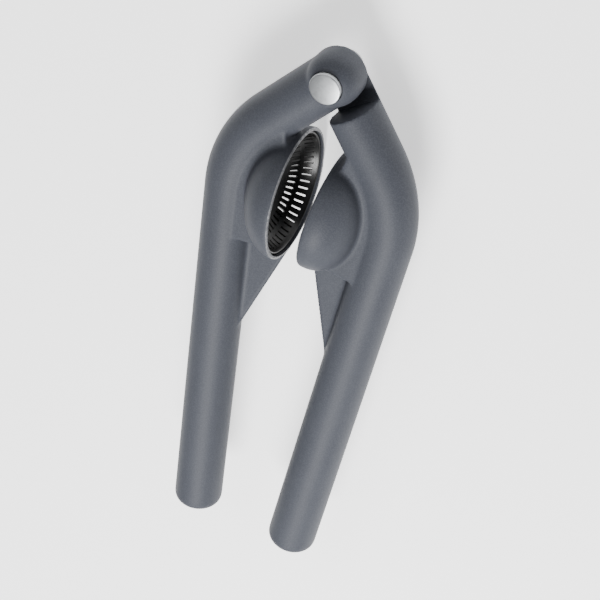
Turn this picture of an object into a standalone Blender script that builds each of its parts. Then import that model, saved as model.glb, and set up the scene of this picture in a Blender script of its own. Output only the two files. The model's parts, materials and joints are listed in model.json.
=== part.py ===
"""Garlic press: two cast levers on a riveted lap joint, with a perforated sieve basket in the cup.

Frame: the press lies flat, +Z is the pivot's axis, the pivot end points to +Y and the handles to -Y.
The origin is the middle of the underside of the whole press. Lengths are in metres.
"""
import math

import bmesh
import bpy
from mathutils import Matrix, Vector

MM = 0.001

# ---- driving dimensions -------------------------------------------------------------------------
BAR_R = 7.7 * MM              # radius of the round bar that both levers are cast as
NECK_LENGTH = 41.05 * MM      # pivot to the corner of the lever's centre line
HANDLE_LENGTH = 137.0 * MM    # corner to the end of the straight part
BEND_R = 38.3 * MM            # radius of the centre line at the corner
NECK_ANGLE = math.radians(38.8)   # neck to the press's middle line
BEND_ANGLE = math.radians(42.4)   # turn of the centre line at the corner
TIP_LENGTH = 4.4 * MM         # rounded end of a handle
TIP_TURN = math.radians(83)   # how far its rounding runs, short of a right angle
TIP_FULLNESS = 2.4            # 2 is an ellipse, and more is squarer
BAR_SIDES = 28
BEND_STEPS = 10
TIP_STEPS = 5

BOSS_R = 7.95 * MM            # ball at the pivot end of each lever
LAP_GAP = 1.2 * MM            # between the two halves of the lap joint
LAP_DROP = 3.0 * MM           # the halves meet this far under the levers' middle plane
LAP_MARGIN = 14.0 * MM        # the cut for it runs this far past the pivot
NOTCH = 10.8 * MM             # pivot to the end wall of the notch
FIT_GAP = 0.3 * MM            # between pieces that touch on the real press
PIN_R = 2.6 * MM              # shank of the rivet
PIN_SPLIT = 6.0 * MM          # where the two halves of the rivet meet, under the middle plane
RIVET_R = 4.6 * MM            # its head
RIVET_SEAT = 7.0 * MM         # underside of the head above the middle plane
RIVET_TOP = 9.0 * MM
RIVET_CROWN = 0.25 * MM       # rise of the head in its middle
CAP_BOTTOM = 8.0 * MM         # underside of the flat cap below the middle plane
RIVET_EDGE = 0.4 * MM         # chamfer round the head
PIN_HOLE_R = PIN_R + 1.2 * MM
BUSH_HALF = 5.4 * MM          # half length of the bush
WASHER_R = 6.2 * MM

CUP_ALONG = 11.5 * MM         # cup's axis past the corner, along the handle
CUP_MOUTH = 20.4 * MM         # mouth plane off the handle's axis, towards the other lever
CUP_R = 20.0 * MM             # outside of the rim
CUP_DEPTH = 13.6 * MM
CUP_WALL = 1.1 * MM
CUP_STEPS = 40                # sides of the cup and the plunger
BOWL_STEPS = 8                # steps from a bowl's rim to its middle
OUTLET_SIZE = (34.0 * MM, 15.0 * MM, 12.6 * MM)   # window under the cup: long, high and deep
OUTLET_PLACE = (0.0, -14.7 * MM, -8.8 * MM)       # its middle from the middle of the mouth
SIEVE_SHEET = 0.8 * MM
SIEVE_LIP = 2.2 * MM          # sieve's rim below the mouth of the cup
SIEVE_STEPS = 32
HOLE_R = 1.1 * MM
HOLE_PITCH = 4.6 * MM
HOLE_REACH = 13.6 * MM        # holes lie within this distance of the sieve's axis
DRILL_MIDDLE = -9.5 * MM      # drills for the holes, from the mouth
DRILL_LENGTH = 11.0 * MM

PLUNGER_FACE = 20.5 * MM      # pressing face off the handle's axis
PLUNGER_R = 18.6 * MM
PLUNGER_EDGE = 0.6 * MM       # rounding of the pressing face's edge
PLUNGER_BAND = 1.6 * MM       # straight side behind it
PLUNGER_DEPTH = 13.9 * MM

LEDGE_HALF = 6.4 * MM         # half thickness of the flat ledge between bar and cup
LEDGE_FOOT = 0.88             # its lower edge past the head's axis, in radii of the head
LEDGE_CREST = 0.92            # its upper corner before the axis, in radii of the head
LEDGE_SINK = 2.5 * MM         # its inner edge under the mouth or the pressing face
LEDGE_CORNER = 4.4 * MM       # the same at its lower corner
LEDGE_SLOPE = 0.6 * MM        # how far its lower edge bulges
LEDGE_NECK = (0.42, 0.80)     # where it runs out on the neck, in lengths of the neck
FIN_HALF = 1.0 * MM           # half thickness of the web below it
FIN_FALL = 0.381              # slope of the web's free edge towards the handle
CUP_FIN = 32.1 * MM           # where that edge would meet the level of the corner, on the cup's side
PLUNGER_FIN = 31.1 * MM       # and on the plunger's side
FIN_FOOT = 64.6 * MM          # where it runs out on the handle
FIN_ROOT = 2.0 * MM           # how far it sits in the bar and under the head's face

# ---- derived places ------------------------------------------------------------------------------
LIFT = CUP_R                  # the cup's rim is the lowest point
HANDLE_ANGLE = BEND_ANGLE - NECK_ANGLE
HANDLE_END = (NECK_LENGTH * math.cos(NECK_ANGLE)
              + (HANDLE_LENGTH + TIP_LENGTH) * math.cos(HANDLE_ANGLE))
PIVOT = Vector((0.0, (HANDLE_END - BOSS_R) / 2, LIFT))
LEFT, RIGHT = -1, 1           # the cup lever is on the left, the plunger lever on the right
SIDE_NAME = {LEFT: "left", RIGHT: "right"}

press = None                  # collection of the finished parts
cutters = None                # collection of the shapes they are joined with or cut by


# ---- scene ---------------------------------------------------------------------------------------
def clear_scene():
    for thing in list(bpy.data.objects):
        bpy.data.objects.remove(thing, do_unlink=True)


def new_collection(name):
    made = bpy.data.collections.new(name)
    bpy.context.scene.collection.children.link(made)
    return made


def material(name, colour, roughness, metallic):
    made = bpy.data.materials.new(name)
    made.use_nodes = True
    shader = made.node_tree.nodes["Principled BSDF"]
    shader.inputs["Base Color"].default_value = (*colour, 1.0)
    shader.inputs["Roughness"].default_value = roughness
    shader.inputs["Metallic"].default_value = metallic
    return made


def add_object(name, mesh, is_part=False):
    made = bpy.data.objects.new(name, mesh)
    (press if is_part else cutters).objects.link(made)
    if not is_part:
        made.hide_render = True
        made.display_type = 'WIRE'
    return made


def finish(part, finish_material):
    part.data.materials.clear()
    part.data.materials.append(finish_material)
    part.data.shade_smooth()
    part.data.set_sharp_from_angle(angle=math.radians(35))


# ---- places on a lever ---------------------------------------------------------------------------
def neck_direction(side):
    return Vector((side * math.sin(NECK_ANGLE), -math.cos(NECK_ANGLE), 0.0))


def handle_direction(side):
    return Vector((-side * math.sin(HANDLE_ANGLE), -math.cos(HANDLE_ANGLE), 0.0))


def inward_direction(side):
    """Square to the handle, in the plane of the press, towards the other lever."""
    return Vector((-side * math.cos(HANDLE_ANGLE), math.sin(HANDLE_ANGLE), 0.0))


def on_handle(side, along, inward=0.0, up=0.0):
    corner = PIVOT + NECK_LENGTH * neck_direction(side)
    return (corner + along * handle_direction(side) + inward * inward_direction(side)
            + Vector((0.0, 0.0, up)))


def facing_inward(side, inward):
    """Place of a head's turned shape, whose own +Z axis points at the other lever."""
    z_axis = inward_direction(side)
    y_axis = Vector((0.0, 0.0, 1.0))
    x_axis = y_axis.cross(z_axis)
    turn = Matrix((x_axis, y_axis, z_axis)).transposed().to_4x4()
    return Matrix.Translation(on_handle(side, CUP_ALONG, inward)) @ turn


# ---- shapes --------------------------------------------------------------------------------------
def turned(name, profile, steps, place, is_part=False, closed=False):
    """Solid of revolution of (radius, height) points that run down the outer side."""
    mesh = bpy.data.meshes.new(name)
    shape = bmesh.new()
    points = [shape.verts.new((radius, 0.0, height)) for radius, height in profile]
    for first, second in zip(points, points[1:]):
        shape.edges.new((first, second))
    if closed:
        shape.edges.new((points[-1], points[0]))
    shape.to_mesh(mesh)
    shape.free()
    made = add_object(name, mesh, is_part)
    made.matrix_world = place
    screw = made.modifiers.new("turn", 'SCREW')
    screw.steps = steps
    screw.render_steps = steps
    screw.use_merge_vertices = True
    screw.merge_threshold = 0.001 * MM
    screw.use_normal_calculate = False
    return made


def extruded(name, outline, bottom, top):
    """Flat outline of world (x, y) points, solid from height bottom to height top."""
    curve = bpy.data.curves.new(name, 'CURVE')
    curve.dimensions = '2D'
    curve.fill_mode = 'BOTH'
    curve.extrude = (top - bottom) / 2
    spline = curve.splines.new('POLY')
    spline.points.add(len(outline) - 1)
    for point, place in zip(spline.points, outline):
        point.co = (place[0], place[1], 0.0, 1.0)
    spline.use_cyclic_u = True
    drawn = bpy.data.objects.new(name, curve)
    drawn.location = (0.0, 0.0, (top + bottom) / 2)
    return as_mesh(drawn, name)


def as_mesh(drawn, name, is_part=False):
    """The curve object as a closed mesh object, with the curve removed."""
    cutters.objects.link(drawn)
    bpy.context.view_layer.update()
    placed = drawn.matrix_world.copy()
    mesh = bpy.data.meshes.new_from_object(drawn.evaluated_get(bpy.context.evaluated_depsgraph_get()))
    shape = bmesh.new()
    shape.from_mesh(mesh)
    bmesh.ops.remove_doubles(shape, verts=shape.verts, dist=0.001 * MM)
    bmesh.ops.recalc_face_normals(shape, faces=shape.faces)
    shape.to_mesh(mesh)
    shape.free()
    curve = drawn.data
    bpy.data.objects.remove(drawn, do_unlink=True)
    bpy.data.curves.remove(curve)
    mesh.name = name
    made = add_object(name, mesh, is_part)
    made.matrix_world = placed
    return made


def block(name, size, place):
    """Box of the given size, its middle at the given place matrix."""
    mesh = bpy.data.meshes.new(name)
    shape = bmesh.new()
    bmesh.ops.create_cube(shape, size=1.0, matrix=Matrix.Diagonal((*size, 1.0)))
    shape.to_mesh(mesh)
    shape.free()
    made = add_object(name, mesh)
    made.matrix_world = place
    return made


def cylinder(name, radius, bottom, top, centre, sides):
    mesh = bpy.data.meshes.new(name)
    shape = bmesh.new()
    bmesh.ops.create_cone(shape, cap_ends=True, segments=sides, radius1=radius, radius2=radius,
                          depth=top - bottom)
    shape.to_mesh(mesh)
    shape.free()
    made = add_object(name, mesh)
    made.location = (centre.x, centre.y, (top + bottom) / 2)
    return made


def ball(name, radius, centre):
    mesh = bpy.data.meshes.new(name)
    shape = bmesh.new()
    bmesh.ops.create_uvsphere(shape, u_segments=24, v_segments=14, radius=radius)
    shape.to_mesh(mesh)
    shape.free()
    made = add_object(name, mesh)
    made.location = centre
    return made


def combine(part, operand, operation):
    step = part.modifiers.new(operand.name, 'BOOLEAN')
    step.operation = operation
    step.solver = 'EXACT'
    step.object = operand


def bowl(radius, depth, lip=0.0, top=0.0):
    """Quarter ellipse below height top, from its rim, or a lip's depth under it, to the axis."""
    start = math.asin(lip / depth)
    turns = [start + (math.pi / 2 - start) * i / BOWL_STEPS for i in range(BOWL_STEPS + 1)]
    points = [(radius * math.cos(t), top - depth * math.sin(t)) for t in turns]
    points[-1] = (0.0, top - depth)
    return points


# ---- levers --------------------------------------------------------------------------------------
def bar(name, side):
    """Round bar along the lever's centre line: neck, bend, handle and rounded tip."""
    neck, handle = neck_direction(side), handle_direction(side)
    tangent = BEND_R * math.tan(BEND_ANGLE / 2)
    corner = PIVOT + NECK_LENGTH * neck
    points = [(PIVOT, 1.0)]
    across = Vector((-side * math.cos(NECK_ANGLE), -math.sin(NECK_ANGLE), 0.0))
    centre = corner - tangent * neck + BEND_R * across
    for i in range(BEND_STEPS + 1):
        turn = -side * BEND_ANGLE * i / BEND_STEPS
        arm = Matrix.Rotation(turn, 3, 'Z') @ (-BEND_R * across)
        points.append((centre + arm, 1.0))
    straight_end = corner + HANDLE_LENGTH * handle
    points.append((straight_end, 1.0))
    for i in range(1, TIP_STEPS + 1):
        rise = math.sin(TIP_TURN * i / TIP_STEPS)
        size = math.sqrt(1.0 - rise ** TIP_FULLNESS)
        points.append((straight_end + TIP_LENGTH * rise * handle, size))
    curve = bpy.data.curves.new(name, 'CURVE')
    curve.dimensions = '3D'
    curve.bevel_depth = BAR_R
    curve.bevel_resolution = BAR_SIDES // 4 - 1
    curve.use_fill_caps = True
    spline = curve.splines.new('POLY')
    spline.points.add(len(points) - 1)
    for point, (place, size) in zip(spline.points, points):
        point.co = (*place, 1.0)
        point.radius = size
    return as_mesh(bpy.data.objects.new(name, curve), name, is_part=True)


def ledge(side, face, radius):
    """Flat plate that fills the space between the bar and the back of the cup or plunger."""
    foot = CUP_ALONG + LEDGE_FOOT * radius
    crest = CUP_ALONG - LEDGE_CREST * radius
    neck = NECK_LENGTH * neck_direction(side)
    outline = [
        on_handle(side, foot),
        on_handle(side, foot + LEDGE_SLOPE, BAR_R / 2),
        on_handle(side, foot, face - LEDGE_CORNER),
        on_handle(side, CUP_ALONG, face - LEDGE_SINK),
        on_handle(side, crest, face - LEDGE_SINK),
        PIVOT + LEDGE_NECK[0] * neck,
        PIVOT + LEDGE_NECK[1] * neck,
    ]
    return extruded("ledge_" + SIDE_NAME[side], outline, LIFT - LEDGE_HALF, LIFT + LEDGE_HALF)


def fin(side, face, radius, height):
    """Thin triangular web in the middle plane, from the cup or plunger down to the handle."""
    root = CUP_ALONG + radius / 2
    rim = CUP_ALONG + radius
    top = max(rim, (height - face + FIN_ROOT / 4) / FIN_FALL)
    outline = [
        on_handle(side, root, FIN_ROOT),
        on_handle(side, root, face - FIN_ROOT),
        on_handle(side, rim - PLUNGER_EDGE, face - FIN_ROOT),
        on_handle(side, top, height - FIN_FALL * top),
        on_handle(side, FIN_FOOT, height - FIN_FALL * FIN_FOOT),
        on_handle(side, FIN_FOOT, FIN_ROOT),
    ]
    return extruded("fin_" + SIDE_NAME[side], outline, LIFT - FIN_HALF, LIFT + FIN_HALF)


def lap_cut(side):
    """Part of the lap joint that the other lever fills: above the meeting plane on the right."""
    neck = neck_direction(side)
    half_gap = LAP_GAP / 2
    reach = NOTCH + LAP_MARGIN
    height = 2 * BOSS_R
    z_axis = Vector((0.0, 0.0, 1.0))
    turn = Matrix((neck, z_axis.cross(neck), z_axis)).transposed().to_4x4()
    z_middle = side * (height / 2 - half_gap) - LAP_DROP
    middle = PIVOT + (NOTCH - reach / 2) * neck + Vector((0.0, 0.0, z_middle))
    size = (reach, 4 * BOSS_R, height)
    return block("lap_cut_" + SIDE_NAME[side], size, Matrix.Translation(middle) @ turn)


def lever(name, side, face, radius, fin_height, alloy):
    """A bar with its boss, ledge and fin, cut for the lap joint."""
    part = bar(name, side)
    combine(part, ball("boss_" + SIDE_NAME[side], BOSS_R, PIVOT), 'UNION')
    combine(part, ledge(side, face, radius), 'UNION')
    combine(part, fin(side, face, radius, fin_height), 'UNION')
    combine(part, lap_cut(side), 'DIFFERENCE')
    finish(part, alloy)
    return part


def cut_for_rivet(part, side):
    """Hole for the pin and bush, with a flat seat for the rivet's head on the outer face."""
    seat = RIVET_SEAT - FIT_GAP
    far = 2 * BOSS_R
    bottom, top = sorted((LIFT - side * seat, LIFT - side * far))
    seat_cut = cylinder("rivet_seat_" + SIDE_NAME[side], RIVET_R + FIT_GAP, bottom, top, PIVOT, 32)
    combine(part, seat_cut, 'DIFFERENCE')
    hole = cylinder("pin_hole_" + SIDE_NAME[side], PIN_HOLE_R, LIFT - far, LIFT + far, PIVOT, 24)
    combine(part, hole, 'DIFFERENCE')


def cup_lever(alloy):
    """Left lever: its head is a shallow bowl, open at the mouth and at an outlet underneath."""
    part = lever("cup_lever", LEFT, CUP_MOUTH, CUP_R, CUP_FIN, alloy)
    place = facing_inward(LEFT, CUP_MOUTH)
    shell = turned("cup_shell", [(0.0, 0.0)] + bowl(CUP_R, CUP_DEPTH), CUP_STEPS, place)
    inner_r, inner_depth = CUP_R - CUP_WALL, CUP_DEPTH - CUP_WALL
    above = CUP_DEPTH / 3
    hollow_profile = [(0.0, above), (inner_r, above)] + bowl(inner_r, inner_depth)
    combine(part, shell, 'UNION')
    combine(part, turned("cup_hollow", hollow_profile, CUP_STEPS, place), 'DIFFERENCE')
    outlet = block("outlet", OUTLET_SIZE, place @ Matrix.Translation(OUTLET_PLACE))
    combine(part, outlet, 'DIFFERENCE')
    cut_for_rivet(part, LEFT)
    return part


def plunger_lever(alloy):
    """Right lever: its head is the plunger, a solid dome with a flat pressing face."""
    part = lever("plunger_lever", RIGHT, PLUNGER_FACE, PLUNGER_R, PLUNGER_FIN, alloy)
    edge = [(PLUNGER_R - PLUNGER_EDGE * (1 - math.sin(turn)), -PLUNGER_EDGE * (1 - math.cos(turn)))
            for turn in (0.0, math.pi / 6, math.pi / 3)]
    back = PLUNGER_EDGE + PLUNGER_BAND
    profile = [(0.0, 0.0)] + edge + [(PLUNGER_R, -PLUNGER_EDGE)]
    profile += bowl(PLUNGER_R, PLUNGER_DEPTH - back, top=-back)
    head = turned("plunger_head", profile, CUP_STEPS, facing_inward(RIGHT, PLUNGER_FACE))
    combine(part, head, 'UNION')
    cut_for_rivet(part, RIGHT)
    return part


# ---- sieve ---------------------------------------------------------------------------------------
def hole_places():
    """Centres of a hexagonal hole pattern within reach of the sieve's axis."""
    row_pitch = HOLE_PITCH * math.sin(math.pi / 3)
    rows = int(HOLE_REACH / row_pitch) + 1
    for row in range(-rows, rows + 1):
        for column in range(-rows - 1, rows + 2):
            x = (column + 0.5 * (row % 2)) * HOLE_PITCH
            y = row * row_pitch
            if math.hypot(x, y) < HOLE_REACH:
                yield x, y


def sieve_drills(place):
    """One short rod for each hole, all in one mesh."""
    holes = bmesh.new()
    for x, y in hole_places():
        drill = Matrix.Translation((x, y, DRILL_MIDDLE))
        bmesh.ops.create_cone(holes, cap_ends=True, segments=6, radius1=HOLE_R, radius2=HOLE_R,
                              depth=DRILL_LENGTH, matrix=drill)
    mesh = bpy.data.meshes.new("sieve_holes")
    holes.to_mesh(mesh)
    holes.free()
    drills = add_object("sieve_holes", mesh)
    drills.matrix_world = place
    return drills


def sieve_basket(steel):
    """Pressed steel bowl that drops into the cup, with a hexagonal pattern of holes in its floor."""
    outer_r = CUP_R - CUP_WALL - FIT_GAP
    outer_depth = CUP_DEPTH - CUP_WALL - FIT_GAP
    inside = bowl(outer_r - SIEVE_SHEET, outer_depth - SIEVE_SHEET, SIEVE_LIP)
    outside = bowl(outer_r, outer_depth, SIEVE_LIP)
    place = facing_inward(LEFT, CUP_MOUTH)
    profile = list(reversed(inside)) + outside
    part = turned("sieve_basket", profile, SIEVE_STEPS, place, is_part=True)
    combine(part, sieve_drills(place), 'DIFFERENCE')
    finish(part, steel)
    return part


# ---- pivot ---------------------------------------------------------------------------------------
def ring(name, inner, outer, bottom, top, finish_material):
    profile = [(inner, top), (outer, top), (outer, bottom), (inner, bottom)]
    part = turned(name, profile, 24, Matrix.Translation(PIVOT), is_part=True, closed=True)
    finish(part, finish_material)


def rivet(steel):
    """Upper half: crowned head and pin. Lower half: the cap that is peened on."""
    place = Matrix.Translation(PIVOT)
    shoulder = RIVET_TOP - RIVET_EDGE
    pin = [(0.0, RIVET_TOP + RIVET_CROWN), (RIVET_R / 2, RIVET_TOP + 0.7 * RIVET_CROWN),
           (RIVET_R - RIVET_EDGE, RIVET_TOP), (RIVET_R, shoulder), (RIVET_R, RIVET_SEAT),
           (PIN_R, RIVET_SEAT), (PIN_R, -PIN_SPLIT), (0.0, -PIN_SPLIT)]
    finish(turned("pivot_rivet", pin, 32, place, is_part=True), steel)
    cap_top = -PIN_SPLIT - FIT_GAP
    cap = [(0.0, cap_top), (PIN_R, cap_top), (PIN_R, -RIVET_SEAT), (RIVET_R, -RIVET_SEAT),
           (RIVET_R, RIVET_EDGE - CAP_BOTTOM), (RIVET_R - RIVET_EDGE, -CAP_BOTTOM), (0.0, -CAP_BOTTOM)]
    finish(turned("rivet_cap", cap, 32, place, is_part=True), steel)


# ---- the press -----------------------------------------------------------------------------------
clear_scene()
press = new_collection("garlic_press")
cutters = new_collection("cutters")
alloy = material("cast_alloy", (0.20, 0.21, 0.24), 0.5, 0.6)
steel = material("stainless_steel", (0.55, 0.55, 0.56), 0.3, 1.0)
bronze = material("bronze", (0.45, 0.30, 0.14), 0.4, 1.0)
nylon = material("nylon", (0.75, 0.74, 0.70), 0.5, 0.0)
cup_lever(alloy)
plunger_lever(alloy)
sieve_basket(steel)
rivet(steel)
washer_half = LAP_GAP / 2 - FIT_GAP
ring("pivot_bush", PIN_R + FIT_GAP, PIN_HOLE_R - FIT_GAP, -BUSH_HALF, BUSH_HALF, bronze)
ring("lap_washer", PIN_HOLE_R + FIT_GAP, WASHER_R, -LAP_DROP - washer_half, -LAP_DROP + washer_half, nylon)
bpy.context.view_layer.update()
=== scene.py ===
import json
import math

import bpy
from mathutils import Matrix, Vector


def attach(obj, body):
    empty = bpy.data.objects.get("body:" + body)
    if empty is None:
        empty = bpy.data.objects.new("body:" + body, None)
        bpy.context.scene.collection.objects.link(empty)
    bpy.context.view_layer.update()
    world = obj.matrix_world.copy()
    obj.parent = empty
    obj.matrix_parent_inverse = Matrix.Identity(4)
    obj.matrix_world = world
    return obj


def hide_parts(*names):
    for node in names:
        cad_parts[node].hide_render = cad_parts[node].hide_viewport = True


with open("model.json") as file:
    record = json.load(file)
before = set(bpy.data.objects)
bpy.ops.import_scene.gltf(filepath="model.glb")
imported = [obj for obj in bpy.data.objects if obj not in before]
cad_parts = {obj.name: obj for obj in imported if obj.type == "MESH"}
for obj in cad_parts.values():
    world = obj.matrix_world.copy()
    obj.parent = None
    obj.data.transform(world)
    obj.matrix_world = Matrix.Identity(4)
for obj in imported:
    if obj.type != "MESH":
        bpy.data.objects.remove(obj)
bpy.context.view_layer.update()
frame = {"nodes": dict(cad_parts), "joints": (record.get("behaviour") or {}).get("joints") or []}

MM = 0.001
RIGHT = Vector((1.0, 0.0, 0.0))
BACK = Vector((0.0, 1.0, 0.0))
UP = Vector((0.0, 0.0, 1.0))
PIVOT = Vector(frame["joints"][0]["pos_m"])
CUP_SIDE, PLUNGER_SIDE = -1, 1      # the cup lever lies towards -X, the plunger lever towards +X
FIT_GAP = 0.3 * MM                  # between pieces that sit in or on each other
LEVEL = 0.01 * MM                   # points closer than this count as level
WELD = 0.001 * MM                   # points closer than this are merged

# ---- sizes: the bar, the same on both levers ----------------------------------------------------
BAR_R = 7.7 * MM
BAR_SIDES = 64
NECK_LENGTH = 41.05 * MM            # pivot to the corner of the centre line
NECK_ANGLE = math.radians(38.8)     # neck to the press's middle line
BEND_ANGLE = math.radians(42.4)     # neck to handle
BEND_R = 38.3 * MM
BEND_STEPS = 24
HANDLE_LENGTH = 137.0 * MM          # corner to the end of the straight part
HANDLE_ANGLE = BEND_ANGLE - NECK_ANGLE
TIP_LENGTH = 4.4 * MM
TIP_TURN = math.radians(86)         # how far the tip's rounding runs, short of a right angle
TIP_FULLNESS = 2.4                  # 2 is an ellipse, and more is squarer
TIP_STEPS = 10

# ---- sizes: lap joint ---------------------------------------------------------------------------
BOSS_R = 7.95 * MM
BOSS_TOP = 8.5 * MM                 # flat top of the cup lever's boss, round the rivet's head
BOSS_FULLNESS = 2.7                 # 2 is an ellipse, and more is squarer
BOSS_SIDES, BOSS_STEPS = 64, 16     # of the cup lever's boss, the steps from pole to waist
BALL_SIDES, BALL_RINGS = 48, 32     # of the plunger lever's round one
LAP_DROP = 3.0 * MM                 # the halves meet this far under the levers' middle plane
LAP_GAP = 0.3 * MM
NOTCH = 10.8 * MM                   # pivot to the end wall of the notch
POCKET_R = 6.5 * MM                 # pocket for the washer
POCKET_DEPTH = 0.9 * MM             # shared by both halves

# ---- sizes: rivet -------------------------------------------------------------------------------
PIN_R = 2.6 * MM
PIN_HOLE_R = 3.8 * MM
PIN_HOLE_SIDES = 48
PIN_SPLIT = 6.0 * MM                # the rivet's halves meet this far under the middle plane
RIVET_R = 4.6 * MM
RIVET_SIDES = 96
RIVET_SEAT = 7.0 * MM               # inner side of either head, off the middle plane
RIVET_TOP = 9.0 * MM                # outer side of the upper head
CAP_BOTTOM = 8.0 * MM               # outer side of the lower head
RIVET_PLAY = 0.15 * MM              # round a head in its spot face
SPOT_SIDES = 64                     # of the spot face and the washer's pocket
RIVET_EDGE = 0.35 * MM              # rounding of a head's outer edge
RIVET_EDGE_STEPS = 5
CROWN_RING = 0.9 * MM               # width of each ring of a head's crown
CROWN_RISES = (0.10, 0.07, 0.05, 0.02)      # mm that each ring rises over the last

# ---- sizes: heads -------------------------------------------------------------------------------
HEAD_ALONG = 11.5 * MM              # axis of cup and plunger past the corner, along the handle
DOME_SIDES, DOME_STEPS = 96, 24     # round a head's outside, and from its edge to its bottom
CUP_MOUTH = 20.4 * MM               # mouth plane off the handle's axis
CUP_R = 20.0 * MM
CUP_DEPTH = 13.6 * MM
CUP_WALL = 1.1 * MM
HOLLOW_SIDES, HOLLOW_STEPS = 128, 32        # the same for the cup's inside
OUTLET_SIZE = (34.0 * MM, 15.0 * MM, 12.6 * MM)     # window in the cup's underside, in the head's axes
OUTLET_PLACE = (0.0, -14.7 * MM, -8.8 * MM)
PLUNGER_FACE = 20.5 * MM            # pressing face off the handle's axis
PLUNGER_R = 18.6 * MM
PLUNGER_DEPTH = 13.9 * MM
PLUNGER_BAND = 2.2 * MM             # straight side of the plunger, with its rounded edge
PLUNGER_EDGE = 0.6 * MM

# ---- sizes: ledges and fins ---------------------------------------------------------------------
LEDGE_HALF = 6.4 * MM               # half its thickness
LEDGE_FOOT = 0.88                   # handle-side edge past the head's axis, in radii of the head
LEDGE_CREST = 0.92                  # pivot-side corner before the head's axis, in radii of the head
LEDGE_SINK = 2.5 * MM               # inner edge under the mouth or the pressing face
LEDGE_CORNER = 4.4 * MM             # the same at its handle-side corner
LEDGE_BULGE = 0.6 * MM              # of its handle-side edge, next to the bar
LEDGE_NECK = 0.42                   # where it runs out on the neck, in lengths of the neck
FIN_HALF = 1.0 * MM                 # half its thickness
FIN_FALL = 0.381                    # slope of its free edge, down towards the handle's end
CUP_FIN = 32.1 * MM                 # height of that edge's line over the bar's axis, at the corner
PLUNGER_FIN = 31.1 * MM
FIN_DROP = 0.5 * MM                 # its top under the mouth or the pressing face

# ---- sizes: casting skin ------------------------------------------------------------------------
SKIN = 0.42 * MM                    # size of the facets that a blended casting is made of
SOFTENING = 0.5                     # how far one pass of smoothing goes, 1 being all the way
FILLET_PASSES = 5                   # smoothing that turns the corners between shapes into fillets
EDGE_PASSES = 2                     # the same for the edges of the lap joint and the outlet
RIM_WEAR_AND_HIGHLIGHT = 0.9 * MM                 # width of the bare rim round the mouth and the pressing face, also a painted highlight line along them

# ---- sizes: sieve -------------------------------------------------------------------------------
SHEET = 0.7 * MM
SIEVE_R = CUP_R - CUP_WALL - FIT_GAP
SIEVE_DEPTH = CUP_DEPTH - CUP_WALL - FIT_GAP
SIEVE_LIP = 1.2 * MM                # its rim below the mouth
SIEVE_SIDES, SIEVE_STEPS = 144, 28
SLOT_WIDTH = 0.55 * MM
SLOT_SIDES = 12
SLOT_ROWS = (                       # turn down the bowl in degrees, slots round it, length in mm
    (19.0, 52, 3.0),
    (37.0, 52, 2.8),
    (54.0, 30, 0.9),
    (66.0, 20, 0.9),
    (78.0, 10, 0.9),
)

# ---- stage and view, in metres and watts --------------------------------------------------------
FLOOR_SIZE = 4.0
SKY = (0.97, 0.98, 1.0, 1.0)
SKY_STRENGTH = 0.34
LIT_PLACE = Vector((0.0, 0.0, 0.02))
SOFTBOX_SIZE = 0.40
OVERHEAD_PLACE, OVERHEAD_POWER = Vector((0.18, -0.38, 0.68)), 15.0
FILL_PLACE, FILL_POWER = Vector((-0.25, 0.45, 0.65)), 1.5
SENSOR = 36.0                       # mm
LENS = 114.86                       # mm
VIEW_TURN = math.radians(69.80)     # the camera's side, from +X towards +Y
VIEW_HEIGHT = math.radians(48.72)
VIEW_ROLL = math.radians(-141.71)
VIEW_DISTANCE = 519.3 * MM
VIEW_AIM = PIVOT + Vector((13.9, -48.4, 35.7)) * MM
VIEW_NEAR = 0.01


# ---- places on a lever --------------------------------------------------------------------------
def neck_direction(side):
    """From the pivot to the corner."""
    return Vector((side * math.sin(NECK_ANGLE), -math.cos(NECK_ANGLE), 0.0))


def handle_direction(side):
    """From the corner to the handle's tip."""
    return Vector((-side * math.sin(HANDLE_ANGLE), -math.cos(HANDLE_ANGLE), 0.0))


def inward_direction(side):
    """Square to the handle, towards the other lever."""
    return Vector((-side * math.cos(HANDLE_ANGLE), math.sin(HANDLE_ANGLE), 0.0))


def on_handle(side, along, inward=0.0):
    """Place past the corner along the handle's axis, and off it towards the other lever."""
    corner = PIVOT + NECK_LENGTH * neck_direction(side)
    return corner + along * handle_direction(side) + inward * inward_direction(side)


def axes(x_axis, y_axis, z_axis, place):
    """Matrix that puts a shape's own axes along the given ones, at a place."""
    return Matrix.Translation(place) @ Matrix((x_axis, y_axis, z_axis)).transposed().to_4x4()


def head_place(side, inward):
    """Place of a head's shape: its own +Z points at the other lever, and +Y is up."""
    facing = inward_direction(side)
    return axes(UP.cross(facing), UP, facing, on_handle(side, HEAD_ALONG, inward))


# ---- modelling steps ----------------------------------------------------------------------------
def start(primitive, name, **settings):
    """A primitive, alone in the selection, under the given name."""
    bpy.ops.object.select_all(action='DESELECT')
    primitive(**settings)
    made = bpy.context.object
    made.name = name
    made.data.name = name
    return made


def choose(piece):
    """Make a piece the only selected one, and the active one."""
    bpy.ops.object.select_all(action='DESELECT')
    piece.select_set(True)
    bpy.context.view_layer.objects.active = piece


def put(piece, matrix):
    """Move a piece and write its place into its mesh."""
    choose(piece)
    piece.matrix_world = matrix
    bpy.ops.object.transform_apply(location=True, rotation=True, scale=True)
    return piece


def select_where(piece, test, kind='FACE'):
    """In object mode, select by a test on a face's middle and normal, or an edge's middle and run."""
    mesh = piece.data
    mesh.polygons.foreach_set("select", [False] * len(mesh.polygons))
    mesh.edges.foreach_set("select", [False] * len(mesh.edges))
    mesh.vertices.foreach_set("select", [False] * len(mesh.vertices))
    if kind == 'FACE':
        for face in mesh.polygons:
            face.select = test(face.center, face.normal)
    else:
        for edge in mesh.edges:
            ends = [mesh.vertices[i].co for i in edge.vertices]
            edge.select = test((ends[0] + ends[1]) / 2, (ends[1] - ends[0]).normalized())


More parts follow.
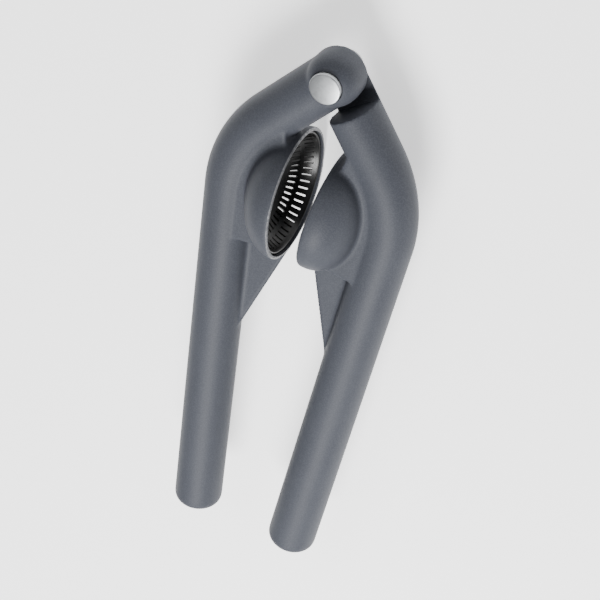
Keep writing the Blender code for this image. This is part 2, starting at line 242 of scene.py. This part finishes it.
def edit(piece, kind='FACE'):
    """Enter edit mode on a piece alone, selecting by face, edge or vertex."""
    choose(piece)
    bpy.ops.object.mode_set(mode='EDIT')
    bpy.ops.mesh.select_mode(type=kind)


def leave_edit():
    bpy.ops.object.mode_set(mode='OBJECT')


def apply_modifier(piece, name, kind, **settings):
    """Add a modifier with the given settings and apply it."""
    choose(piece)
    step = piece.modifiers.new(name, kind)
    for key, value in settings.items():
        setattr(step, key, value)
    bpy.ops.object.modifier_apply(modifier=name)


def cut(piece, cutter):
    """Take a cutter's shape out of a piece, and the cutter out of the scene."""
    apply_modifier(piece, "cut", 'BOOLEAN', operation='DIFFERENCE', solver='EXACT', object=cutter)
    bpy.data.objects.remove(cutter, do_unlink=True)


def join(piece, others):
    """Make others part of a piece's mesh."""
    choose(piece)
    for other in others:
        other.select_set(True)
    bpy.ops.object.join()
    return piece


def trim(piece, point, normal):
    """Cut away what lies on the normal's side of a plane, and close the cut."""
    edit(piece)
    bpy.ops.mesh.select_all(action='SELECT')
    bpy.ops.mesh.bisect(plane_co=point, plane_no=normal, use_fill=True, clear_outer=True)
    leave_edit()


def smooth_shading(piece, degrees):
    """Shade smooth, except over edges sharper than an angle."""
    choose(piece)
    bpy.ops.object.shade_smooth_by_angle(angle=math.radians(degrees))


def turned(name, profile, sides, place):
    """Solid of revolution: a line of (radius, height) points, spun round the shape's own Z."""
    made = start(bpy.ops.mesh.primitive_plane_add, name, size=MM)
    edit(made, 'VERT')
    bpy.ops.mesh.select_all(action='SELECT')
    bpy.ops.mesh.merge(type='CENTER')
    first = profile[0]
    bpy.ops.transform.translate(value=(first[0], 0.0, first[1]))
    for before, after in zip(profile, profile[1:]):
        step = (after[0] - before[0], 0.0, after[1] - before[1])
        bpy.ops.mesh.extrude_region_move(TRANSFORM_OT_translate={"value": step})
    bpy.ops.mesh.select_all(action='SELECT')
    bpy.ops.mesh.spin(steps=sides, angle=2 * math.pi, center=(0, 0, 0), axis=(0, 0, 1))
    bpy.ops.mesh.select_all(action='SELECT')
    bpy.ops.mesh.remove_doubles(threshold=WELD)
    bpy.ops.mesh.normals_make_consistent(inside=False)
    leave_edit()
    return put(made, place)


def bowl(radius, depth, steps, lip=0.0, top=0.0):
    """Quarter ellipse below height top, from its rim, or a lip's depth under it, to the axis."""
    begin = math.asin(lip / depth)
    turns = [begin + (math.pi / 2 - begin) * i / steps for i in range(steps)]
    return [(radius * math.cos(t), top - depth * math.sin(t)) for t in turns] + [(0.0, top - depth)]


# ---- castings -----------------------------------------------------------------------------------
def bar(name, side):
    """Round bar: a disc drawn out along the neck, spun round the bend and drawn out to the tip."""
    neck, handle = neck_direction(side), handle_direction(side)
    tangent = BEND_R * math.tan(BEND_ANGLE / 2)
    bend_start = PIVOT + (NECK_LENGTH - tangent) * neck
    across = Vector((-side * math.cos(NECK_ANGLE), -math.sin(NECK_ANGLE), 0.0))
    made = start(bpy.ops.mesh.primitive_circle_add, name, vertices=BAR_SIDES, radius=BAR_R,
                 fill_type='NGON')
    put(made, axes(neck.cross(UP), -UP, -neck, PIVOT))
    edit(made)
    bpy.ops.mesh.select_all(action='SELECT')
    bpy.ops.mesh.extrude_region_move(TRANSFORM_OT_translate={"value": bend_start - PIVOT})
    bpy.ops.mesh.spin(steps=BEND_STEPS, angle=BEND_ANGLE, center=bend_start + BEND_R * across,
                      axis=(0.0, 0.0, side))
    straight = (HANDLE_LENGTH - tangent) * handle
    bpy.ops.mesh.extrude_region_move(TRANSFORM_OT_translate={"value": straight})
    straight_end = on_handle(side, HANDLE_LENGTH)
    size, reach = 1.0, 0.0
    for i in range(1, TIP_STEPS + 1):
        rise = math.sin(TIP_TURN * i / TIP_STEPS)
        new_size = math.sqrt(1.0 - rise ** TIP_FULLNESS)
        step = TIP_LENGTH * rise - reach
        bpy.ops.mesh.extrude_region_move(TRANSFORM_OT_translate={"value": step * handle})
        reach += step
        shrink = new_size / size
        bpy.ops.transform.resize(value=(shrink,) * 3, center_override=straight_end + reach * handle)
        size = new_size
    bpy.ops.mesh.select_all(action='SELECT')
    bpy.ops.mesh.normals_make_consistent(inside=False)
    leave_edit()
    return made


def slab(name, side, along, inward, half):
    """Block between two places along the handle and two distances off its axis."""
    middle = on_handle(side, sum(along) / 2, sum(inward) / 2)
    made = start(bpy.ops.mesh.primitive_cube_add, name, size=1.0)
    size = Matrix.Diagonal((along[1] - along[0], inward[1] - inward[0], 2 * half, 1.0))
    turn = axes(handle_direction(side), inward_direction(side), side * UP, middle)
    return put(made, turn @ size)


def trim_along(piece, first, second, away):
    """Cut along the line through two places, and drop what lies on the side that away points to."""
    run = second - first
    trim(piece, first, away - away.project(run))


def ledge(side, face, radius):
    """Flat plate between the bar and the head, trimmed to run out on the neck."""
    foot = HEAD_ALONG + LEDGE_FOOT * radius
    edge = face - LEDGE_SINK
    inward, handle = inward_direction(side), handle_direction(side)
    neck = NECK_LENGTH * neck_direction(side)
    made = slab("ledge", side, (-NECK_LENGTH, foot + LEDGE_BULGE), (0.0, edge), LEDGE_HALF)
    crest = on_handle(side, HEAD_ALONG - LEDGE_CREST * radius, edge)
    trim_along(made, crest, PIVOT + LEDGE_NECK * neck, inward)
    trim_along(made, PIVOT, PIVOT + neck, -inward)
    corner = on_handle(side, foot, face - LEDGE_CORNER)
    trim_along(made, on_handle(side, foot + LEDGE_BULGE, BAR_R / 2), corner, handle)
    trim_along(made, corner, on_handle(side, HEAD_ALONG, edge), inward)
    return made


def fin(side, face, radius, height):
    """Thin web in the middle plane, trimmed along its free edge."""
    length = height / FIN_FALL
    made = slab("fin", side, (HEAD_ALONG + radius / 2, length), (0.0, face - FIN_DROP), FIN_HALF)
    trim_along(made, on_handle(side, 0.0, height), on_handle(side, length), inward_direction(side))
    return made


def lap_cut(side):
    """Block, well past the boss on all sides, for the half of the joint that the other lever fills."""
    neck = neck_direction(side)
    reach, height = NOTCH + 2 * BOSS_R, 2 * BOSS_R
    middle = PIVOT + (NOTCH - reach / 2) * neck + (side * (height - LAP_GAP) / 2 - LAP_DROP) * UP
    made = start(bpy.ops.mesh.primitive_cube_add, "lap_cut", size=1.0)
    size = Matrix.Diagonal((reach, 4 * BOSS_R, height, 1.0))
    return put(made, axes(neck, UP.cross(neck), UP, middle) @ size)


def skin(piece, passes):
    """One closed skin over all overlapping shapes, its corners softened like a casting's."""
    apply_modifier(piece, "skin", 'REMESH', mode='VOXEL', voxel_size=SKIN, adaptivity=0.0)
    apply_modifier(piece, "soften", 'SMOOTH', factor=SOFTENING, iterations=passes)


def post(name, radius, bottom, top, sides=SPOT_SIDES):
    """Upright cylinder on the pivot's axis, between two heights over the levers' middle plane."""
    return start(bpy.ops.mesh.primitive_cylinder_add, name, vertices=sides, radius=radius,
                 depth=top - bottom, location=PIVOT + (bottom + top) / 2 * UP)


def rivet_seat(piece, side):
    """Spot face for the rivet's head, hole through the boss, and half of the washer's pocket."""
    seat = RIVET_SEAT - FIT_GAP
    near, far = sorted((-side * seat, -side * 2 * BOSS_R))
    cut(piece, post("spot", RIVET_R + RIVET_PLAY, near, far))
    cut(piece, post("hole", PIN_HOLE_R, -2 * BOSS_R, 2 * BOSS_R, PIN_HOLE_SIDES))
    cut(piece, post("pocket", POCKET_R, -LAP_DROP - POCKET_DEPTH / 2, -LAP_DROP + POCKET_DEPTH / 2))


def boss_shape(side):
    """Ball at the pivot, or on the cup lever a fuller one that comes up round the rivet's head."""
    if side == PLUNGER_SIDE:
        ball = start(bpy.ops.mesh.primitive_uv_sphere_add, "boss", segments=BALL_SIDES,
                     ring_count=BALL_RINGS, radius=BOSS_R)
        return put(ball, Matrix.Translation(PIVOT))
    power = 2 / BOSS_FULLNESS
    quarter = [math.pi / 2 * i / BOSS_STEPS for i in range(1, BOSS_STEPS)]
    upper = [(BOSS_R * math.sin(t) ** power, BOSS_TOP * math.cos(t) ** power) for t in quarter]
    lower = [(radius, -height) for radius, height in reversed(upper)]
    profile = [(0.0, BOSS_TOP)] + upper + [(BOSS_R, 0.0)] + lower + [(0.0, -BOSS_TOP)]
    return turned("boss", profile, BOSS_SIDES, Matrix.Translation(PIVOT))


def casting(name, side, head, face, radius, fin_height):
    """Bar, boss, ledge, fin and head under one skin, with the lap joint cut."""
    boss = boss_shape(side)
    made = bar(name, side)
    join(made, [boss, ledge(side, face, radius), fin(side, face, radius, fin_height), head])
    skin(made, FILLET_PASSES)
    cut(made, lap_cut(side))
    return made


def cup_casting():
    """Cup lever: its cup hollowed out, with an outlet in the underside."""
    place = head_place(CUP_SIDE, CUP_MOUTH)
    dome = turned("dome", [(0.0, 0.0)] + bowl(CUP_R, CUP_DEPTH, DOME_STEPS), DOME_SIDES, place)
    made = casting("cup_casting", CUP_SIDE, dome, CUP_MOUTH, CUP_R, CUP_FIN)
    outlet = start(bpy.ops.mesh.primitive_cube_add, "outlet", size=1.0)
    put(outlet, place @ Matrix.Translation(OUTLET_PLACE) @ Matrix.Diagonal((*OUTLET_SIZE, 1.0)))
    cut(made, outlet)
    skin(made, EDGE_PASSES)
    inner_r = CUP_R - CUP_WALL
    over_mouth = CUP_DEPTH / 3
    profile = [(0.0, over_mouth), (inner_r, over_mouth)]
    profile += bowl(inner_r, CUP_DEPTH - CUP_WALL, HOLLOW_STEPS)
    cut(made, turned("hollow", profile, HOLLOW_SIDES, place))
    rivet_seat(made, CUP_SIDE)
    smooth_shading(made, degrees=40)
    return made


def plunger_casting():
    """Plunger lever: its plunger a solid dome with a flat pressing face."""
    place = head_place(PLUNGER_SIDE, PLUNGER_FACE)
    edge = [(PLUNGER_R - PLUNGER_EDGE * (1 - math.sin(t)), -PLUNGER_EDGE * (1 - math.cos(t)))
            for t in (0.0, math.pi / 6, math.pi / 3, math.pi / 2)]
    under = bowl(PLUNGER_R, PLUNGER_DEPTH - PLUNGER_BAND, DOME_STEPS, top=-PLUNGER_BAND)
    dome = turned("dome", [(0.0, 0.0)] + edge + under, DOME_SIDES, place)
    made = casting("plunger_casting", PLUNGER_SIDE, dome, PLUNGER_FACE, PLUNGER_R, PLUNGER_FIN)
    skin(made, EDGE_PASSES)
    rivet_seat(made, PLUNGER_SIDE)
    smooth_shading(made, degrees=40)
    return made


# ---- sieve --------------------------------------------------------------------------------------
def slot_cutter(length):
    """Short prism with round ends, lying along its own X and cutting along its own Z."""
    made = start(bpy.ops.mesh.primitive_cylinder_add, "slot", vertices=SLOT_SIDES,
                 radius=SLOT_WIDTH / 2, depth=4 * SHEET)
    stretch = (length - SLOT_WIDTH) / 2
    if stretch > 0:
        for way in (-1, 1):
            select_where(made, lambda middle, run: way * middle.x > LEVEL, 'EDGE')
            edit(made, 'EDGE')
            bpy.ops.transform.translate(value=(way * stretch, 0.0, 0.0))
            leave_edit()
    return made


def slots(place):
    """Rows of slots down the bowl, each square to the sheet, staggered from row to row."""
    middle_r, middle_depth = SIEVE_R - SHEET / 2, SIEVE_DEPTH - SHEET / 2
    made = []
    for row, (degrees, count, length) in enumerate(SLOT_ROWS):
        turn = math.radians(degrees)
        first = slot_cutter(length * MM)
        spot = Vector((middle_r * math.cos(turn), 0.0, -middle_depth * math.sin(turn)))
        down = Vector((-middle_r * math.sin(turn), 0.0, -middle_depth * math.cos(turn))).normalized()
        for i in range(count):
            copy = first.copy()
            copy.data = first.data.copy()
            bpy.context.scene.collection.objects.link(copy)
            around = Matrix.Rotation(2 * math.pi * (i + 0.5 * (row % 2)) / count, 4, 'Z')
            copy.matrix_world = place @ around @ axes(down, BACK, down.cross(BACK), spot)
            made.append(copy)
        bpy.data.objects.remove(first, do_unlink=True)
    joined = join(made[0], made[1:])
    bpy.ops.object.transform_apply(location=True, rotation=True, scale=True)
    return joined


def sieve():
    """Pressed steel bowl with a rolled rim and rows of slots."""
    place = head_place(CUP_SIDE, CUP_MOUTH)
    outside = bowl(SIEVE_R, SIEVE_DEPTH, SIEVE_STEPS, SIEVE_LIP)
    inside = bowl(SIEVE_R - SHEET, SIEVE_DEPTH - SHEET, SIEVE_STEPS, SIEVE_LIP)
    rim_middle = SIEVE_R * math.cos(math.asin(SIEVE_LIP / SIEVE_DEPTH)) - SHEET / 2
    rim = [(rim_middle - SHEET / 2 * math.cos(t), -SIEVE_LIP + SHEET / 2 * math.sin(t))
           for t in (math.pi / 4, math.pi / 2, 3 * math.pi / 4)]
    made = turned("sieve", list(reversed(inside)) + rim + outside, SIEVE_SIDES, place)
    cut(made, slots(place))
    smooth_shading(made, degrees=35)
    return made


# ---- rivet --------------------------------------------------------------------------------------
def rivet_half(name, way, top, shank):
    """Crowned head, upper (way 1) or lower (way -1), and a shank of the given length under it."""
    head = top - RIVET_SEAT
    middle = PIVOT + way * (RIVET_SEAT + head / 2) * UP
    made = start(bpy.ops.mesh.primitive_cylinder_add, name, vertices=RIVET_SIDES, radius=RIVET_R,
                 depth=head)
    put(made, axes(RIGHT, way * BACK, way * UP, middle))
    outer = PIVOT.z + way * top
    under = PIVOT.z + way * RIVET_SEAT
    select_where(made, lambda spot, run: abs(spot.z - outer) < LEVEL, 'EDGE')
    edit(made, 'EDGE')
    bpy.ops.mesh.bevel(offset=RIVET_EDGE, segments=RIVET_EDGE_STEPS, affect='EDGES')
    leave_edit()
    select_where(made, lambda spot, normal: abs(spot.z - outer) < LEVEL and abs(normal.z) > 0.99)
    edit(made)
    for rise in CROWN_RISES:
        bpy.ops.mesh.inset(thickness=CROWN_RING)
        bpy.ops.transform.translate(value=way * rise * MM * UP)
    leave_edit()
    select_where(made, lambda spot, normal: abs(spot.z - under) < LEVEL and abs(normal.z) > 0.99)
    edit(made)
    bpy.ops.mesh.inset(thickness=RIVET_R - PIN_R)
    bpy.ops.mesh.extrude_region_move(TRANSFORM_OT_translate={"value": -way * shank * UP})
    bpy.ops.mesh.select_all(action='SELECT')
    bpy.ops.mesh.normals_make_consistent(inside=False)
    leave_edit()
    smooth_shading(made, degrees=30)
    return made


# ---- shader maths -------------------------------------------------------------------------------
class Value:
    """An output socket that Python's operators turn into Math nodes."""

    def __init__(self, tree, socket):
        self.tree = tree
        self.socket = socket

    def node(self, kind, settings, sockets, output=0):
        """Any node: its type, its settings, and the values or links of its sockets."""
        made = self.tree.nodes.new(kind)
        for key, setting in settings.items():
            setattr(made, key, setting)
        for key, value in sockets.items():
            if isinstance(value, Value):
                self.tree.links.new(value.socket, made.inputs[key])
            else:
                made.inputs[key].default_value = value
        return Value(self.tree, made.outputs[output])

    def maths(self, operation, first, second):
        return self.node('ShaderNodeMath', {"operation": operation}, {0: first, 1: second})

    def __add__(self, other):
        return self.maths('ADD', self, other)

    def __radd__(self, other):
        return self.maths('ADD', other, self)

    def __sub__(self, other):
        return self.maths('SUBTRACT', self, other)

    def __rsub__(self, other):
        return self.maths('SUBTRACT', other, self)

    def __mul__(self, other):
        return self.maths('MULTIPLY', self, other)

    def __rmul__(self, other):
        return self.maths('MULTIPLY', other, self)

    def squared(self):
        return self * self

    def root(self):
        return self.maths('SQRT', self, 0.0)

    def clear_step(self, low, high):
        """0 below low, 1 above high and a smooth change between them."""
        return self.node('ShaderNodeMapRange', {"interpolation_type": 'SMOOTHSTEP'},
                         {"Value": self, "From Min": low, "From Max": high})

    def noise(self, scale, detail=4.0, roughness=0.5, distortion=0.0):
        """Noise over this vector, as a number about 0.5."""
        return self.node('ShaderNodeTexNoise', {}, {"Vector": self, "Scale": scale, "Detail": detail,
                                                    "Roughness": roughness, "Distortion": distortion})

    def streaks(self, scale, detail):
        """Noise that changes with this number alone, about 0.5."""
        return self.node('ShaderNodeTexNoise', {"noise_dimensions": '1D'},
                         {"W": self, "Scale": scale, "Detail": detail})

    def along(self, direction, place):
        """How far this position lies past a place in a direction."""
        product = self.node('ShaderNodeVectorMath', {"operation": 'DOT_PRODUCT'},
                            {0: self, 1: tuple(direction)}, output="Value")
        return product - direction.dot(place)

    def blend(self, first, second):
        """This value mixes two colours."""
        return self.node('ShaderNodeMix', {"data_type": 'RGBA'},
                         {"Factor": self, 6: first, 7: second}, output=2)


def finish(name):
    """A new material: its shader node, and the position on the piece as a Value."""
    made = bpy.data.materials.new(name)
    made.use_nodes = True
    tree = made.node_tree
    shader = tree.nodes["Principled BSDF"]
    position = Value(tree, tree.nodes.new('ShaderNodeTexCoord').outputs["Object"])
    return made, shader, position


def connect(shader, name, value):
    """Link a Value to one of the shader's sockets."""
    value.tree.links.new(value.socket, shader.inputs[name])


def bump(shader, height, distance):
    """Relief: a height without a unit, times a distance in metres."""
    relief = height.node('ShaderNodeBump', {}, {"Height": height, "Distance": distance})
    connect(shader, "Normal", relief)


# ---- finishes -----------------------------------------------------------------------------------
def grey(level, warmth=0.0):
    """A grey, a little redder with warmth over 0 and a little bluer under it."""
    return (level * (1 + warmth), level, level * (1 - warmth), 1.0)


def cast_alloy(name, side, face, radius):
    """Matte shot-blasted casting: fine grain, soft cloudy patches, and a bare rim on the head, whose
    bright metal also paints the rim's highlight line.
    """
    made, shader, position = finish(name)
    clouds = position.noise(70.0, 3.0)
    grain = position.noise(2600.0, 2.0, 0.6)
    pits = position.noise(900.0, 3.0, 0.55)
    dark, light = (0.041, 0.044, 0.054, 1.0), (0.052, 0.056, 0.067, 1.0)
    # the bright grey is bare metal at the rim, and also a painted highlight along the rim
    dust, bare_metal_highlight = (0.078, 0.082, 0.095, 1.0), (0.40, 0.40, 0.41, 1.0)
    body = clouds.blend(dark, light)
    speckled = (grain.clear_step(0.42, 0.62) * 0.35).blend(body, dust)
    past_face = position.along(inward_direction(side), on_handle(side, 0.0, face))
    down = position.along(handle_direction(side), on_handle(side, HEAD_ALONG))
    off_axis = (down.squared() + position.along(UP, PIVOT).squared()).root()
    at_rim = off_axis.clear_step(radius - RIM_WEAR_AND_HIGHLIGHT - 0.4 * MM, radius - RIM_WEAR_AND_HIGHLIGHT)
    at_face = past_face.clear_step(-0.45 * MM, -0.2 * MM)
    on_head = down.clear_step(-radius - 1.5 * MM, -radius + 0.2 * MM)
    # bare metal band round the mouth or pressing face: partly wear, partly a painted highlight line
    # along the rim
    bare_and_highlight = at_rim * at_face * on_head * (0.3 + 0.4 * pits.clear_step(0.35, 0.6))
    connect(shader, "Base Color", bare_and_highlight.blend(speckled, bare_metal_highlight))
    connect(shader, "Metallic", bare_and_highlight * 0.8)
    connect(shader, "Roughness", 0.45 + 0.08 * clouds + 0.10 * grain - 0.12 * bare_and_highlight)
    shader.inputs["Specular IOR Level"].default_value = 0.15
    bump(shader, grain + 0.8 * pits, 0.012 * MM)
    return made


def sieve_steel():
    """Pressed stainless sheet, its colour darkened far below steel's as painted shade inside the cup:
    drawing marks round the bowl and faint water spots.
    """
    made, shader, position = finish("sieve_stainless")
    depth = position.along(inward_direction(CUP_SIDE), on_handle(CUP_SIDE, 0.0, CUP_MOUTH))
    marks = depth.streaks(2600.0, 4.0)
    spots = position.noise(260.0, 3.0, 0.6)
    # painted shade: the steel's colour is made nearly black to stand in for the shade inside the cup,
    # with water spots varying it
    connect(shader, "Base Color", spots.blend(grey(0.025, 0.01), grey(0.05)))
    shader.inputs["Metallic"].default_value = 1.0
    connect(shader, "Roughness", 0.22 + 0.12 * marks + 0.10 * spots)
    bump(shader, marks + 0.5 * spots, 0.006 * MM)
    return made


def rivet_steel():
    """Turned steel: fine rings round the pin's axis, and light scuffs."""
    made, shader, position = finish("rivet_stainless")
    off_axis = (position.along(RIGHT, PIVOT).squared() + position.along(BACK, PIVOT).squared()).root()
    rings = off_axis.streaks(5200.0, 3.0)
    scuffs = position.noise(700.0, 4.0, 0.65, 1.5)
    connect(shader, "Base Color", scuffs.blend(grey(0.28, -0.02), grey(0.46, -0.03)))
    shader.inputs["Metallic"].default_value = 1.0
    connect(shader, "Roughness", 0.26 + 0.10 * rings + 0.10 * scuffs)
    bump(shader, rings + 0.4 * scuffs, 0.004 * MM)
    return made


def bearing_bronze():
    """Sintered bronze, with open pores."""
    made, shader, position = finish("bush_bronze")
    pores = position.noise(3200.0, 3.0, 0.6)
    connect(shader, "Base Color", pores.blend((0.26, 0.15, 0.06, 1.0), (0.50, 0.33, 0.15, 1.0)))
    shader.inputs["Metallic"].default_value = 1.0
    connect(shader, "Roughness", 0.36 + 0.2 * pores)
    bump(shader, pores, 0.01 * MM)
    return made


def washer_nylon():
    """Pale nylon, faintly mottled where it rubs."""
    made, shader, position = finish("washer_nylon")
    rub = position.noise(500.0, 4.0, 0.6)
    connect(shader, "Base Color", rub.blend((0.55, 0.53, 0.48, 1.0), (0.74, 0.73, 0.69, 1.0)))
    connect(shader, "Roughness", 0.42 + 0.2 * rub)
    bump(shader, rub, 0.01 * MM)
    return made


def paint(piece, material):
    """Give a piece one material and no other."""
    piece.data.materials.clear()
    piece.data.materials.append(material)


# ---- stage --------------------------------------------------------------------------------------
def floor():
    """Pale floor with some light of its own, so that it stays pale under the shadows."""
    made = start(bpy.ops.mesh.primitive_plane_add, "floor", size=FLOOR_SIZE)
    material, shader, position = finish("pale_floor")
    tone = position.noise(6.0, 2.0)
    connect(shader, "Base Color", tone.blend(grey(0.90), grey(0.93)))
    shader.inputs["Roughness"].default_value = 0.8
    shader.inputs["Specular IOR Level"].default_value = 0.0
    shader.inputs["Emission Color"].default_value = (1.0, 1.0, 1.0, 1.0)
    shader.inputs["Emission Strength"].default_value = 1.0
    paint(made, material)


def softbox(name, place, power):
    """Square lamp at a place, turned towards the press."""
    light = bpy.data.lights.new(name, 'AREA')
    light.shape = 'SQUARE'
    light.size = SOFTBOX_SIZE
    light.energy = power
    lamp = bpy.data.objects.new(name, light)
    bpy.context.scene.collection.objects.link(lamp)
    lamp.location = place
    lamp.rotation_euler = (LIT_PLACE - place).to_track_quat('-Z', 'Y').to_euler()


def studio():
    """Soft light from all round, a softbox above the handles and a faint one above the pivot."""
    world = bpy.data.worlds.new("studio")
    world.use_nodes = True
    surround = world.node_tree.nodes["Background"]
    surround.inputs["Color"].default_value = SKY
    surround.inputs["Strength"].default_value = SKY_STRENGTH
    bpy.context.scene.world = world
    softbox("overhead", OVERHEAD_PLACE, OVERHEAD_POWER)
    softbox("fill", FILL_PLACE, FILL_POWER)


def camera():
    """Long lens, above the pivot end, rolled so that the handles run down to the left."""
    lens = bpy.data.cameras.new("camera")
    lens.lens = LENS
    lens.sensor_width = SENSOR
    lens.clip_start = VIEW_NEAR
    eye = bpy.data.objects.new("camera", lens)
    bpy.context.scene.collection.objects.link(eye)
    level_reach = math.cos(VIEW_HEIGHT)
    back = Vector((level_reach * math.cos(VIEW_TURN), level_reach * math.sin(VIEW_TURN),
                   math.sin(VIEW_HEIGHT)))
    right = Matrix.Rotation(VIEW_ROLL, 3, back) @ UP.cross(back).normalized()
    eye.matrix_world = axes(right, back.cross(right), back, VIEW_AIM + VIEW_DISTANCE * back)
    bpy.context.scene.camera = eye


# ---- the press ----------------------------------------------------------------------------------
def show(piece, material, body, node):
    """Paint a piece, and say which body it rides, which CAD node it replaces."""
    paint(piece, material)
    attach(piece, body)
    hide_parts(node)


show(cup_casting(), cast_alloy("cup_alloy", CUP_SIDE, CUP_MOUTH, CUP_R),
     "cup_side", "cup_lever")
show(plunger_casting(), cast_alloy("plunger_alloy", PLUNGER_SIDE, PLUNGER_FACE, PLUNGER_R),
     "plunger_side", "plunger_lever")
show(sieve(), sieve_steel(), "cup_side", "sieve_basket")
polished = rivet_steel()
show(rivet_half("rivet_head", 1, RIVET_TOP, RIVET_SEAT + PIN_SPLIT), polished,
     "cup_side", "pivot_rivet")
show(rivet_half("rivet_cap_head", -1, CAP_BOTTOM, RIVET_SEAT - PIN_SPLIT - FIT_GAP), polished,
     "cup_side", "rivet_cap")
paint(frame["nodes"]["pivot_bush"], bearing_bronze())
paint(frame["nodes"]["lap_washer"], washer_nylon())
floor()
studio()
camera()
